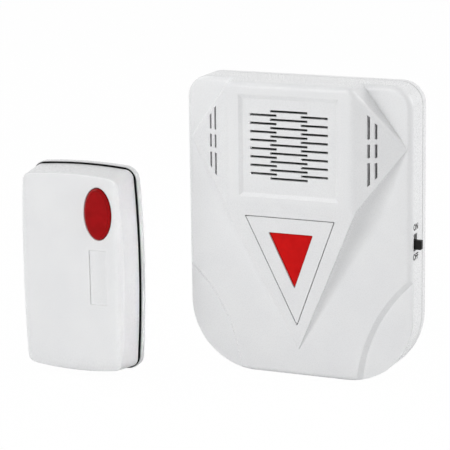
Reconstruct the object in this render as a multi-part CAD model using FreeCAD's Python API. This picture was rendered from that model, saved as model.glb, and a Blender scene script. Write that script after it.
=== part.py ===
import FreeCAD, Part
import math
import os

# Wireless doorbell: a chime that hangs on a wall or stands, and a push button unit for the door.
# Both stand upright, fronts to -Y, heights along +Z, sizes in millimetres.
# Each unit is drawn about its own middle, with y = 0 at its front face, then put in its place.

vec = FreeCAD.Vector
back_way = vec(0, 1, 0)

# Fits between pieces
slip = 0.2
snug = 0.15
screw_slip = 0.05
seam = 0.4
bite = 0.5

# Chime housing
chime_width = 99.0
chime_height = 125.0
chime_depth = 19.0
parting_depth = 12.9
case_wall = 2.0
top_corner = 9.5
bottom_corner = 29.0
front_round = 2.4
back_round = 2.5
lip_wall = 1.2
lip_reach = 2.0

# Lowered bottom corners of the chime front, cut by a large round step
corner_step = 2.0
step_radius = 68.5
step_middle_out = 44.3
step_middle_z = -5.9

# Shield on the chime front: a flat block, two ears that slope off it and a long point below
shield_proud = 10.2
shield_half_flat = 27.3
ear_tip_in = 1.8
ear_tip_reach = chime_width / 2 - ear_tip_in
ear_tip_drop = 25.3
ear_tip_z = chime_height - ear_tip_drop
ear_top_reach = 28.5
ear_draft = 9.0
waist_reach = 29.3
waist_drop = 50.0
waist_z = chime_height - waist_drop
point_z = 11.5
point_proud = 0.3
cove_lean = 31.0
bend_round = 6.0
brow_round = 2.4
brow_corner = 4.0
shield_wall = 2.2

# Speaker grille in the block
grille_half_width = 21.9
grille_top_drop = 5.0
grille_height = 42.3
grille_top = chime_height - grille_top_drop
grille_bottom = grille_top - grille_height
grille_depth = 0.8
grille_slope = 1.6
grille_floor = 1.5
grille_lift = 0.75
slot_height = 0.95
slot_pitch = 3.48
slot_rows = 8
side_slot_in = 5.3
side_slot_out = 17.0
middle_slot_half = 8.15

# Ear slots
ear_slot_width = 1.0
# x of each column, then how far its two ends lie below the top
ear_slot_columns = [(33.5, 39.9, 11.5), (36.2, 37.0, 14.8)]
ear_slot_middle_drop = 25.8
ear_slot_bar = 2.1
ear_slot_middle_length = 5.5
ear_slot_slant = 0.9

# Triangular panel and its lens in the shield point
panel_half = 19.85
panel_drop = 5.4
panel_rise = 10.5
panel_top = waist_z - panel_drop
panel_tip = point_z + panel_rise
panel_gap = 0.35
lens_half = 9.6
lens_drop = 6.9
lens_height = 23.6
lens_top = panel_top - lens_drop
lens_tip = lens_top - lens_height
lens_corner = 0.35
panel_corner = 0.3
lens_gap = 0.15
lens_sink = 0.5
insert_flange = 1.2
insert_flange_thick = 1.1

# Speaker
speaker_radius = 20.0
speaker_rim = 2.5
basket_depth = 8.0
basket_back_radius = 11.5
basket_wall = 0.9
magnet_radius = 11.0
magnet_thick = 4.0
basket_ledge = 2.6
cap_radius = 7.0
cone_dip = 4.4
cone_thick = 0.5
clamp_reach = 23.0
clamp_post_radius = 2.2
clamp_head_radius = 3.4
clamp_head_thick = 1.0
clamp_shank_radius = 0.9
clamp_shank_length = 3.2

# Battery bay for two AA cells
cell_radius = 7.0
cell_length = 49.5
cell_nub_length = 1.0
cell_nub_radius = 2.75
cell_round = 0.5
cell_count = 2
cell_gap = 0.5
board_over_waist = 1.0
board_height = 25.6
bay_height = 33.5
board_bottom = waist_z + board_over_waist - board_height
bay_bottom = board_bottom - bay_height
bay_chamfer = 3.0
bay_wall = 1.2
bay_floor = 1.0
contact_thick = 0.4
contact_gap = 0.1
contact_half = 4.0
spring_length = 4.2
spring_radius = 3.6
door_thick = 1.5
grip_count = 5
grip_pitch = 2.6
grip_half_length = 9.0
grip_width = 1.2
grip_depth = 0.5
grip_margin = 4.0
latch_width = 12.0
latch_reach = 5.0
latch_thick = 1.0

# Chime circuit board and what stands on it
board_front = 6.6
board_thick = 1.6
board_left_in = 16.5
board_right_in = 5.5
board_left = board_left_in - chime_width / 2
board_right = chime_width / 2 - board_right_in
board_top = waist_z + board_over_waist
board_post_radius = 2.4
board_post_inset = 3.6
board_screw_radius = 0.95
board_screw_head = 1.9
board_screw_head_thick = 1.2
led_radius = 2.5
led_length = 8.4
led_reach = 3.6
led_over_edge = 6.1
led_z = board_bottom + led_over_edge
led_rim = 0.4

# Receiver module on its pin header, with a screening can, and the potted melody chip
module_in = 14.0
module_over_edge = 12.35
module_x = board_left + module_in
module_z = board_bottom + module_over_edge
module_width = 16.0
module_height = 14.5
module_thick = 1.0
header_height = 2.5
header_width = 14.0
header_rise = 0.5
can_width = 6.0
can_height = 8.0
can_thick = 2.5
chip_x = 10.0
chip_over_edge = 11.6
chip_z = board_bottom + chip_over_edge
chip_foot_radius = 5.0
chip_top_radius = 3.5
chip_thick = 1.4

# Slide switch in the right wall
switch_drop = 14.3
switch_z = waist_z - switch_drop
switch_length = 8.7
switch_width = 4.4
switch_depth = 4.4
knob_length = 3.8
knob_width = 2.4
knob_proud = 2.9
knob_travel = 2.0
knob_end_gap = 0.6
knob_side_gap = 0.85
knob_track_gap = 0.3
knob_foot = 1.2
knob_round = 0.4

# Case screws and the hanging keyhole
screw_top_in = 9.5
screw_low_in = 11.5
screw_top_z = chime_height - 12.5
screw_low_z = 20.0
case_screws_at = [(screw_top_in - chime_width / 2, screw_top_z), (chime_width / 2 - screw_top_in, screw_top_z),
                  (screw_low_in - chime_width / 2, screw_low_z), (chime_width / 2 - screw_low_in, screw_low_z)]
boss_radius = 3.6
boss_back = 15.0
screw_shank_radius = 1.4
screw_length = 10.0
screw_head_radius = 2.75
screw_head_thick = 2.0
cross_reach = 0.6
cross_width = 0.5
board_screw_length = 5.0
counterbore_radius = 3.2
sleeve_radius = 4.6
sleeve_floor = 1.0
keyhole_drop = 22.0
keyhole_z = chime_height - keyhole_drop
keyhole_radius = 4.0
keyhole_slot_radius = 2.0
keyhole_rise = 8.0

# Push button unit
bell_width = 49.4
bell_height = 87.2
bell_front_depth = 13.6
bell_depth = 18.5
bell_corner = 5.2
bell_side_bulge = 1.75
bell_top_bulge = 1.3
bell_bottom_bulge = 1.9
bell_face_inset = 1.3
bell_wall = 2.0
bell_shoulder_width = 3.8
bell_shoulder_drop = 1.6
bell_chin_width = 6.5
bell_chin_drop = 1.8
rear_proud = 0.95
gasket_proud = 0.6
gasket_thick = 0.9
gasket_in = 1.4
bell_back_round = 1.5

# Oval button, on the right half of the face
button_in = 11.7
button_x = bell_width / 2 - button_in
button_drop = 17.6
button_z = bell_height - button_drop
button_half_width = 6.05
button_half_height = 10.85
button_proud = 1.2
button_bevel = 0.9
button_travel = 0.6
button_flange = 1.1
button_flange_thick = 1.0
stop_gap = 0.02
button_stem_radius = 2.2
tag_in = 12.3
tag_x = bell_width / 2 - tag_in
tag_drop = 44.8
tag_z = bell_height - tag_drop
tag_width = 7.7
tag_height = 23.2
tag_depth = 0.4
oval_gap = 0.35

# Inside the push button unit
bell_board_front = 8.0
bell_board_thick = 1.2
bell_board_width = 17.0
bell_board_right_in = 4.7
bell_board_top_in = 6.8
bell_board_right = bell_width / 2 - bell_board_right_in
bell_board_left = bell_board_right - bell_board_width
bell_board_bottom = 14.0
bell_board_top = bell_height - bell_board_top_in
bell_post_radius = 2.0
bell_post_inset = 2.6
bell_post_low = 17.0
bell_post_high = 36.0
tact_size = 6.0
tact_height = 3.5
plunger_radius = 1.75
plunger_proud = 0.8
plunger_foot = 0.8
bell_cell_radius = 5.1
bell_cell_length = 28.0
bell_cell_in = 11.2
bell_cell_x = bell_cell_in - bell_width / 2
bell_cell_bottom = 24.0
bell_nub_length = 1.0
bell_nub_radius = 2.2
bell_spring_length = 3.4
bell_spring_radius = 3.2
bell_rib = 1.2
bell_rib_half = 5.5
bell_rib_back = 11.0
bell_contact_back = 10.5
resonator_in = 7.5
resonator_at = (bell_board_right - resonator_in, 50.5)
resonator_radius = 4.2
resonator_height = 2.6
tuning_coil_in = 4.5
tuning_coil_at = (bell_board_right - tuning_coil_in, 40.0)
tuning_coil_radius = 2.4
tuning_coil_height = 3.6
encoder_in = 9.0
encoder_at = (bell_board_right - encoder_in, 28.5)
encoder_size = (6.0, 1.6, 9.0)
wall_hole_radius = 2.0
wall_hole_spacing = 56.0

# How the pair stands side by side
units_gap = 13.4
bell_forward = 33.3

rear_width = bell_width + 2 * rear_proud
set_left = -chime_width / 2 - units_gap - rear_width
set_right = chime_width / 2 + knob_proud
set_front = -bell_forward - button_proud
chime_place = vec(-(set_left + set_right) / 2, -(set_front + chime_depth) / 2, 0)
bell_place = chime_place + vec(set_left + rear_width / 2, -bell_forward, rear_proud)

pieces = {}


def keep(name, shape, place):
    moved = shape.copy()
    moved.translate(place)
    pieces[name] = moved


# Plain helpers

def rounded_wire(points, put):
    """Closed wire from (u, w, corner radius) points; put turns u and w into a place in space."""
    edges = []
    corners = []
    for index, (u, w, radius) in enumerate(points):
        before = points[index - 1]
        after = points[(index + 1) % len(points)]
        corner = put(u, w)
        to_before = (put(before[0], before[1]) - corner).normalize()
        to_after = (put(after[0], after[1]) - corner).normalize()
        if radius <= 0:
            corners.append((corner, corner, corner))
            continue
        half = math.acos(max(-1.0, min(1.0, to_before.dot(to_after)))) / 2
        run = radius / math.tan(half)
        inward = (to_before + to_after).normalize()
        middle = corner + inward * (radius / math.sin(half) - radius)
        corners.append((corner + to_before * run, middle, corner + to_after * run))
    for index, (start, middle, end) in enumerate(corners):
        following = corners[(index + 1) % len(corners)][0]
        if start.distanceToPoint(end) > 1e-6:
            edges.append(Part.Arc(start, middle, end).toShape())
        if end.distanceToPoint(following) > 1e-6:
            edges.append(Part.LineSegment(end, following).toShape())
    return Part.Wire(edges)


def rounded_outline(points, y):
    return rounded_wire(points, lambda x, z: vec(x, y, z))


def plate(points, y_front, y_back):
    return Part.Face(rounded_outline(points, y_front)).extrude(vec(0, y_back - y_front, 0))


def block(x_low, x_high, y_low, y_high, z_low, z_high):
    return Part.makeBox(x_high - x_low, y_high - y_low, z_high - z_low, vec(x_low, y_low, z_low))


def rod(radius, x, z, y_front, y_back):
    return Part.makeCylinder(radius, y_back - y_front, vec(x, y_front, z), back_way)


def along_x(yz_points, x_low, x_high):
    wire = rounded_wire(yz_points, lambda y, z: vec(x_low, y, z))
    return Part.Face(wire).extrude(vec(x_high - x_low, 0, 0))


def along_z(xy_points, z_low, z_high):
    wire = rounded_wire(xy_points, lambda x, y: vec(x, y, z_low))
    return Part.Face(wire).extrude(vec(0, 0, z_high - z_low))


def edges_at(shape, y):
    return [edge for edge in shape.Edges
            if abs(edge.BoundBox.YMin - y) < 1e-3 and abs(edge.BoundBox.YMax - y) < 1e-3]


def joined(shapes):
    return shapes[0].multiFuse(shapes[1:]).removeSplitter() if len(shapes) > 1 else shapes[0]


def both_sides(shape):
    return [shape, shape.mirror(vec(0, 0, 0), vec(1, 0, 0))]


# Chime front: outline, lowered corners and shield

def case_points(inset):
    half = chime_width / 2 - inset
    low = inset
    high = chime_height - inset
    return [(-half, low, bottom_corner - inset), (half, low, bottom_corner - inset),
            (half, high, top_corner - inset), (-half, high, top_corner - inset)]


def corner_cones(grow, y_shift):
    radius = step_radius + grow
    cones = []
    for side in (-1, 1):
        start = vec(side * (chime_width / 2 + step_middle_out), y_shift - 1, step_middle_z)
        cones.append(Part.makeCone(radius + 1, radius - corner_step, corner_step + 1, start, back_way))
    return cones


def front_slab():
    high = plate(case_points(0), 0, parting_depth)
    high = high.makeFillet(front_round, edges_at(high, 0))
    low = plate(case_points(0), corner_step, parting_depth)
    low = low.makeFillet(front_round, edges_at(low, corner_step))
    return high.cut(corner_cones(0, 0)).fuse(low)


def ear_slope():
    return shield_proud / (ear_tip_reach - shield_half_flat)


def point_slope():
    return (shield_proud - point_proud) / (waist_z - point_z)


def point_face(z):
    """Depth of the sloping face below the waist, at a height."""
    return -shield_proud + point_slope() * (waist_z - z)


def ear_face(x):
    """Depth of the ear's sloping face at a distance from the middle."""
    return -ear_slope() * (ear_tip_reach - x)


def shield_core(inset):
    """Shield without its coves; a positive inset gives the hollow behind its wall."""
    top = chime_height - (case_wall if inset else 0)
    outline = [(-ear_top_reach, top, 0), (ear_top_reach, top, 0), (ear_tip_reach, ear_tip_z, 0),
               (waist_reach, waist_z, 0), (0, point_z, 0), (-waist_reach, waist_z, 0),
               (-ear_tip_reach, ear_tip_z, 0)]
    back = case_wall + bite if inset else corner_step / 2
    wire = rounded_outline(outline, back)
    if inset:
        wire = wire.makeOffset2D(-inset, 2)
    core = Part.Face(wire).extrude(vec(0, -shield_proud + inset - back, 0))
    front = -shield_proud + inset
    ear_back = inset * math.hypot(1, ear_slope())
    point_back = inset * math.hypot(1, point_slope())
    far = ear_tip_reach + 10
    bend_x = ear_tip_reach - (ear_back - front) / ear_slope()
    bend_z = waist_z + (point_back - shield_proud - front) / point_slope()
    over_ears = along_z([(-far, ear_face(far) + ear_back, 0), (-bend_x, front, bend_round),
                         (bend_x, front, bend_round), (far, ear_face(far) + ear_back, 0),
                         (far, far, 0), (-far, far, 0)], -1, chime_height + 1)
    over_point = along_x([(point_face(-5) + point_back, -5, 0), (front, bend_z, bend_round * 2),
                          (front, chime_height + 1, 0), (far, chime_height + 1, 0), (far, -5, 0)], -far, far)
    return core.common(over_ears).common(over_point)


def ear_brow_cutters():
    """Wedges that lean the upper ear walls inward by their draft."""
    cutters = []
    lean = math.tan(math.radians(ear_draft)) * shield_proud * 2
    run = vec(ear_tip_reach - ear_top_reach, 0, ear_tip_z - chime_height).normalize()
    outward = vec(-run.z, 0, run.x)
    start = vec(ear_top_reach, 0, chime_height) - run * 20
    section = [start, start + outward * 30, start + outward * 30 + vec(0, -shield_proud * 2, 0),
               start - outward * lean + vec(0, -shield_proud * 2, 0)]
    wedge = Part.Face(Part.makePolygon(section + section[:1])).extrude(run * 80)
    for cutter in both_sides(wedge):
        cutters.append(cutter)
    return cutters


def lower_coves():
    """Hollow-curved skirts under both ears, widest at the waist and gone at the two tips."""
    coves = []
    depth = ear_face(waist_reach)
    lean = math.radians(cove_lean)
    outward = vec(math.cos(lean), 0, -math.sin(lean))
    waist = vec(waist_reach, 0, waist_z)
    reach = -depth

    def at(out, y):
        return waist + outward * out + vec(0, y, 0)

    corner = reach * (1 - math.cos(math.pi / 4))
    hollow = Part.Arc(at(0, depth), at(corner, -corner), at(reach, 0)).toShape()
    ring = [at(reach, 0), at(reach, 1), at(-5, 1), at(-5, depth + 2), at(0, depth)]
    sides = [Part.LineSegment(ring[k], ring[k + 1]).toShape() for k in range(4)]
    section = Part.Wire([hollow] + sides)
    for tip in (vec(ear_tip_reach, 0, ear_tip_z), vec(0, 0, point_z)):
        coves += both_sides(Part.makeLoft([section, Part.Vertex(tip)], True, True))
    return coves


def shield():
    """Core with leaning ear walls, its brow and the brow's two corners rounded, then the coves."""
    core = shield_core(0).cut(ear_brow_cutters())
    corners = [edge for edge in core.Edges if edge.BoundBox.YLength > shield_proud / 2
               and abs(edge.BoundBox.ZMin - chime_height) < 1e-3]
    core = core.makeFillet(brow_corner, corners)
    brow = [edge for edge in core.Edges if edge.BoundBox.ZMin > chime_height - brow_corner
            and edge.BoundBox.ZLength < brow_corner and edge.BoundBox.YMax < 1 - shield_proud]
    return core.makeFillet(brow_round, brow).multiFuse(lower_coves())


def grille_recess():
    mouth = [(-grille_half_width, grille_bottom, 0), (grille_half_width, grille_bottom, 0),
             (grille_half_width, grille_top, 0), (-grille_half_width, grille_top, 0)]
    over = 0.5
    flare = over * grille_slope / grille_depth
    front = [(x + math.copysign(flare, x), z + (flare if z == grille_top else -flare), r)
             for x, z, r in mouth]
    floor = [(x - math.copysign(grille_slope, x), z - (grille_slope if z == grille_top else -grille_slope), r)
             for x, z, r in mouth]
    return Part.makeLoft([rounded_outline(front, -shield_proud - over),
                          rounded_outline(floor, -shield_proud + grille_depth)], True, True)


def speaker_z():
    return (grille_bottom + grille_top) / 2


def grille_slots():
    """Three columns of level slots, the middle column half a pitch off the outer two."""
    slots = []
    front = -shield_proud + grille_depth - 1
    back = -shield_proud + grille_depth + grille_floor + 1
    columns = [(-side_slot_out, -side_slot_in, slot_rows), (side_slot_in, side_slot_out, slot_rows),
               (-middle_slot_half, middle_slot_half, slot_rows + 1)]
    for left, right, rows in columns:
        for row in range(rows):
            z = speaker_z() + grille_lift + (row - (rows - 1) / 2) * slot_pitch
            slots.append(block(left, right, front, back, z - slot_height / 2, z + slot_height / 2))
    return slots


def ear_slots():
    """Upright slots in each ear; the end slots are cut off parallel to the ear's sides."""
    slots = []
    half = ear_slot_width / 2
    rise = ear_slot_slant / 2
    middle = chime_height - ear_slot_middle_drop
    middle_low = middle - ear_slot_middle_length / 2
    middle_high = middle + ear_slot_middle_length / 2
    for x, low_drop, high_drop in ear_slot_columns:
        low = chime_height - low_drop
        high = chime_height - high_drop
        rows = [[(x - half, low - rise), (x + half, low + rise),
                 (x + half, middle_low - ear_slot_bar), (x - half, middle_low - ear_slot_bar)],
                [(x - half, middle_low), (x + half, middle_low),
                 (x + half, middle_high), (x - half, middle_high)],
                [(x - half, middle_high + ear_slot_bar), (x + half, middle_high + ear_slot_bar),
                 (x + half, high - rise), (x - half, high + rise)]]
        for row in rows:
            slots += both_sides(plate([(px, pz, 0) for px, pz in row], -shield_proud, case_wall + 1))
    return slots


# Triangular inserts in the sloping face

def triangle(half, top, tip, grow, radius):
    """Triangle with its point down, grown evenly on all sides."""
    side = math.hypot(half, top - tip)
    drop = grow * side / half
    wide = half * (top + grow - (tip - drop)) / (top - tip)
    return [(-wide, top + grow, radius), (0, tip - drop, radius), (wide, top + grow, radius)]


def point_layer(front, back):
    """Slice that lies under the sloping face, from one depth below it to another."""
    low = -10
    high = waist_z + 10
    lean = math.hypot(1, point_slope())
    front *= lean
    back *= lean
    return along_x([(point_face(low) + front, low, 0), (point_face(high) + front, high, 0),
                    (point_face(high) + back, high, 0), (point_face(low) + back, low, 0)], -60, 60)


def wedge(outline, front, back):
    return plate(outline, -shield_proud * 3, shield_proud * 2).common(point_layer(front, back))


def lens_panel():
    face = wedge(triangle(panel_half, panel_top, panel_tip, -panel_gap, panel_corner), 0, shield_wall)
    flange = wedge(triangle(panel_half, panel_top, panel_tip, insert_flange, 1.0),
                   shield_wall, shield_wall + insert_flange_thick)
    hole = wedge(triangle(lens_half, lens_top, lens_tip, lens_gap, lens_corner), -1, shield_wall * 3)
    return face.fuse(flange).cut(hole).removeSplitter()


def signal_lens():
    back = shield_wall + insert_flange_thick
    face = wedge(triangle(lens_half, lens_top, lens_tip, 0, lens_corner), lens_sink, back)
    flange = wedge(triangle(lens_half, lens_top, lens_tip, insert_flange, lens_corner),
                   back, back + insert_flange_thick)
    return face.fuse(flange).removeSplitter()


# Chime housing pieces

def boss_front(x, z):
    return corner_step + case_wall if z < waist_z else case_wall


def board_posts_at():
    left = board_left + board_post_inset
    right = chime_width / 2 - case_wall - switch_depth - 2 * board_post_inset
    low = board_bottom + board_post_inset
    high = board_top - board_post_inset
    return [(left, low), (right, low), (left, high), (right, high)]


def clamp_posts_at():
    reach = clamp_reach * math.cos(math.pi / 4)
    return [(x, speaker_z() + z) for x in (-reach, reach) for z in (-reach, reach)]


def speaker_front():
    return -shield_proud + grille_depth + grille_floor


def switch_slot(y_low, y_high):
    half = (knob_length + knob_travel) / 2 + knob_end_gap
    return block(chime_width / 2 - case_wall - 1, chime_width / 2 + 1, y_low, y_high,
                 switch_z - half, switch_z + half)


def switch_y():
    return board_front - switch_width / 2


def chime_front_cover():
    hollow = [plate(case_points(case_wall), case_wall, parting_depth + 1).cut(
        corner_cones(case_wall * 0.6, case_wall))]
    hollow.append(plate(case_points(case_wall), case_wall + corner_step, parting_depth + 1))
    within = plate(case_points(case_wall), -shield_proud, parting_depth)
    hollow.append(shield_core(shield_wall).common(within))
    cover = front_slab().fuse(shield()).removeSplitter()
    cover = cover.cut(hollow)
    cover = cover.fuse(block(-grille_half_width, grille_half_width, -shield_proud + shield_wall - 0.2,
                             speaker_front(), grille_bottom, grille_top))
    for x, z in case_screws_at:
        cover = cover.fuse(rod(boss_radius, x, z, boss_front(x, z) - bite, boss_back))
    for x, z in board_posts_at():
        cover = cover.fuse(rod(board_post_radius, x, z, case_wall - bite, board_front))
    rim_back = speaker_front() + speaker_rim
    for x, z in clamp_posts_at():
        cover = cover.fuse(rod(clamp_post_radius, x, z, speaker_front() - bite, rim_back))
    cuts = [grille_recess()] + grille_slots() + ear_slots()
    cuts.append(wedge(triangle(panel_half, panel_top, panel_tip, 0, panel_corner),
                      -shield_wall, shield_wall * 2))
    slot_half = knob_width / 2 + knob_side_gap
    cuts.append(switch_slot(switch_y() - slot_half, switch_y() + slot_half))
    for x, z in case_screws_at:
        cuts.append(rod(screw_shank_radius + screw_slip, x, z, boss_front(x, z) + bite, boss_back + 1))
    for x, z in board_posts_at():
        cuts.append(rod(board_screw_radius, x, z, case_wall, board_front + 1))
    for x, z in clamp_posts_at():
        cuts.append(rod(clamp_shank_radius + screw_slip, x, z,
                        rim_back - clamp_shank_length - slip, rim_back + 1))
    return cover.cut(cuts).removeSplitter()


def bay_size():
    """Inside half length, bottom and top of the battery bay."""
    half = (cell_length + cell_nub_length + spring_length + contact_thick + 2 * contact_gap) / 2
    top = bay_bottom + bay_wall + cell_count * 2 * cell_radius + (cell_count + 1) * cell_gap
    return half, bay_bottom + bay_wall, top


def bay_floor_back():
    return chime_depth - door_thick - 2 * cell_radius - snug


def bay_box(grow, front, back):
    """Block of the bay's shape, its lower front edge cut off under the round cell."""
    half, low, high = bay_size()
    low -= grow
    return along_x([(front, low + bay_chamfer, 0), (front + bay_chamfer, low, 0), (back, low, 0),
                    (back, high + grow, 0), (front, high + grow, 0)], -half - grow, half + grow)


def chime_rear_cover():
    front = parting_depth + seam
    shell = plate(case_points(0), front, chime_depth)
    shell = shell.makeFillet(back_round, edges_at(shell, chime_depth))
    shell = shell.cut(plate(case_points(case_wall), front - 1, chime_depth - case_wall))
    lip_out = case_wall + snug
    lip = plate(case_points(lip_out), parting_depth - lip_reach, front)
    lip = lip.fuse(plate(case_points(case_wall - bite), front, front + lip_reach))
    lip = lip.cut(plate(case_points(lip_out + lip_wall), parting_depth - lip_reach - 1, front + lip_reach + 1))
    half, low, high = bay_size()
    box = bay_box(bay_wall, bay_floor_back() - bay_floor, chime_depth - door_thick)
    shell = shell.multiFuse([lip, box])
    for x, z in case_screws_at:
        shell = shell.fuse(rod(sleeve_radius, x, z, boss_back, chime_depth - case_wall + bite))
    cuts = [block(-half - bay_wall, half + bay_wall, chime_depth - door_thick, chime_depth + 1,
                  low - bay_wall, high + bay_wall),
            bay_box(0, bay_floor_back(), chime_depth + 1)]
    for x, z in case_screws_at:
        cuts.append(rod(counterbore_radius, x, z, boss_back + sleeve_floor, chime_depth + 1))
        cuts.append(rod(screw_shank_radius + screw_slip, x, z, boss_back - 1, chime_depth))
    rear = chime_depth - case_wall - 1
    cuts.append(rod(keyhole_radius, 0, keyhole_z, rear, chime_depth + 1))
    cuts.append(rod(keyhole_slot_radius, 0, keyhole_z + keyhole_rise, rear, chime_depth + 1))
    cuts.append(block(-keyhole_slot_radius, keyhole_slot_radius, rear, chime_depth + 1,
                      keyhole_z, keyhole_z + keyhole_rise))
    return shell.cut(cuts).removeSplitter()


def battery_door():
    half, low, high = bay_size()
    edge = bay_wall - slip
    inner = chime_depth - door_thick
    door = block(-half - edge, half + edge, inner, chime_depth, low - edge, high + edge)
    side = latch_width / 2
    tongue = block(-side, side, inner - latch_reach, inner, high - slip - latch_thick, high - slip)
    rib = block(-side, side, inner - latch_reach / 2, inner, low + slip, low + slip + latch_thick)
    door = door.multiFuse([tongue.cut(cell_space()), rib.cut(cell_space())])
    grips = []
    for index in range(grip_count):
        z = high - grip_margin - index * grip_pitch
        grips.append(block(-grip_half_length, grip_half_length, chime_depth - grip_depth, chime_depth + 1,
                           z - grip_width / 2, z + grip_width / 2))
    return door.cut(grips).removeSplitter()


def cell_centres():
    half, low, high = bay_size()
    y = bay_floor_back() + cell_radius + snug / 2
    return [(y, low + cell_gap + cell_radius + k * (2 * cell_radius + cell_gap)) for k in range(cell_count)]


def cell_space():
    half, low, high = bay_size()
    return [Part.makeCylinder(cell_radius + snug, 2 * half, vec(-half, y, z), vec(1, 0, 0))
            for y, z in cell_centres()]


def aa_cell(index):
    """Cell lying across the bay; neighbours point opposite ways."""
    half, low, high = bay_size()
    y, z = cell_centres()[index]
    way = 1 if index % 2 == 0 else -1
    axis = vec(way, 0, 0)
    nub_end = way * (half - contact_thick - contact_gap)
    shoulder = nub_end - way * cell_nub_length
    bottom = shoulder - way * cell_length
    can = Part.makeCylinder(cell_radius, cell_length, vec(bottom, y, z), axis)
    ends = [edge for edge in can.Edges if edge.BoundBox.XLength < 1e-3]
    can = can.makeChamfer(cell_round, ends)
    return can.fuse(Part.makeCylinder(cell_nub_radius, cell_nub_length, vec(shoulder, y, z), axis))


def cell_contacts():
    half, low, high = bay_size()
    springs = []
    plates = []
    for index, (y, z) in enumerate(cell_centres()):
        way = 1 if index % 2 == 0 else -1
        wall = way * half
        plates.append(block(min(wall, wall - way * contact_thick), max(wall, wall - way * contact_thick),
                            y - contact_half, y + contact_half, z - contact_half, z + contact_half))
        base = -way * half
        foot = Part.makeCylinder(spring_radius, contact_thick, vec(base, y, z), vec(way, 0, 0))
        coil = Part.makeCone(spring_radius - slip, spring_radius * 0.6, spring_length - contact_thick,
                             vec(base + way * contact_thick, y, z), vec(way, 0, 0))
        springs.append(foot.fuse(coil).removeSplitter())
    return Part.makeCompound(springs), Part.makeCompound(plates)


# Chime inside

def speaker_parts():
    z = speaker_z()
    front = speaker_front()
    rim_back = front + speaker_rim
    rear = rim_back + basket_depth

    def turned(profile):
        corners = [vec(r, y, z) for r, y in profile]
        face = Part.Face(Part.makePolygon(corners + corners[:1]))
        return face.revolve(vec(0, 0, z), back_way, 360)

    ledge = front + speaker_rim / 2
    ring = speaker_radius - basket_ledge
    lip = ring + 1.0
    basket = turned([(lip, front), (speaker_radius, front), (speaker_radius, rim_back),
                     (ring + basket_wall, rim_back), (basket_back_radius, rear), (0.0, rear),
                     (0.0, rear - basket_wall), (basket_back_radius - basket_wall, rear - basket_wall),
                     (ring, rim_back - basket_wall), (ring, ledge), (lip, ledge)])
    edge = lip - contact_gap
    inner = ring - slip
    cone = turned([(edge, ledge - 2 * cone_thick), (edge, ledge), (inner, ledge), (cap_radius, front + cone_dip),
                   (0.0, front + cone_dip * 0.7), (0.0, front + cone_dip * 0.7 - cone_thick),
                   (cap_radius - cone_thick, front + cone_dip - cone_thick), (inner, ledge - 2 * cone_thick)])
    magnet = rod(magnet_radius, 0, z, rear, rear + magnet_thick)
    return basket, cone, magnet


def screw(radius, head_radius, head_thick, length, x, z, seat):
    """Screw driven from the back: its head's front side is at the seat."""
    head = rod(head_radius, x, z, seat, seat + head_thick)
    far = head_radius * cross_reach
    near = cross_width / 2
    half_way = seat + head_thick / 2
    cross = block(x - far, x + far, half_way, seat + head_thick + 1, z - near, z + near)
    upright = block(x - near, x + near, half_way, seat + head_thick + 1, z - far, z + far)
    return head.cut([cross, upright]).fuse(rod(radius, x, z, seat - length, seat))


def board_screw(x, z, seat):
    return screw(board_screw_radius - screw_slip, board_screw_head, board_screw_head_thick,
                 board_screw_length, x, z, seat)


def chime_board():
    board = block(board_left, board_right, board_front, board_front + board_thick, board_bottom, board_top)
    holes = [rod(board_screw_radius + slip, x, z, board_front - 1, board_front + board_thick + 1)
             for x, z in board_posts_at()]
    return board.cut(holes)


def signal_leds():
    leds = []
    for x in (-led_reach, led_reach):
        can = rod(led_radius, x, led_z, board_front - led_length + led_radius, board_front)
        flange = rod(led_radius + led_rim, x, led_z, board_front - 1, board_front)
        dome = Part.makeSphere(led_radius, vec(x, board_front - led_length + led_radius, led_z))
        leds.append(can.multiFuse([flange, dome]).removeSplitter())
    return Part.makeCompound(leds)


def receiver_module():
    back = board_front + board_thick
    front = back + header_height
    low = module_z - module_height / 2
    side = module_width / 2
    header = block(module_x - header_width / 2, module_x + header_width / 2, back, front,
                   low + header_rise, low + header_rise + header_height)
    module = block(module_x - side, module_x + side, front, front + module_thick, low, low + module_height)
    can_low = low + module_height - header_height - can_height + header_rise
    can = block(module_x - side * 0.6, module_x - side * 0.6 + can_width, front + module_thick,
                front + module_thick + can_thick, can_low, can_low + can_height)
    return header.multiFuse([module, can]).removeSplitter()


def melody_chip():
    start = vec(chip_x, board_front + board_thick, chip_z)
    return Part.makeCone(chip_foot_radius, chip_top_radius, chip_thick, start, back_way)


def switch_body():
    x_high = chime_width / 2 - case_wall - contact_gap
    body = block(x_high - switch_depth, x_high, switch_y() - switch_width / 2, board_front,
                 switch_z - switch_length / 2, switch_z + switch_length / 2)
    half = (knob_length + knob_travel) / 2 + knob_track_gap
    track = block(x_high - knob_foot - slip, x_high + 1, switch_y() - knob_width / 2 - slip,
                  switch_y() + knob_width / 2 + slip, switch_z - half, switch_z + half)
    return body.cut(track)


def switch_knob():
    low = switch_z - (knob_length + knob_travel) / 2
    start = chime_width / 2 - case_wall - contact_gap - knob_foot
    knob = block(start, chime_width / 2 + knob_proud, switch_y() - knob_width / 2,
                 switch_y() + knob_width / 2, low, low + knob_length)
    tip = [edge for edge in knob.Edges
           if abs(edge.CenterOfMass.x - chime_width / 2 - knob_proud) < 1e-3]
    return knob.makeFillet(knob_round, tip)


# Push button unit

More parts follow.
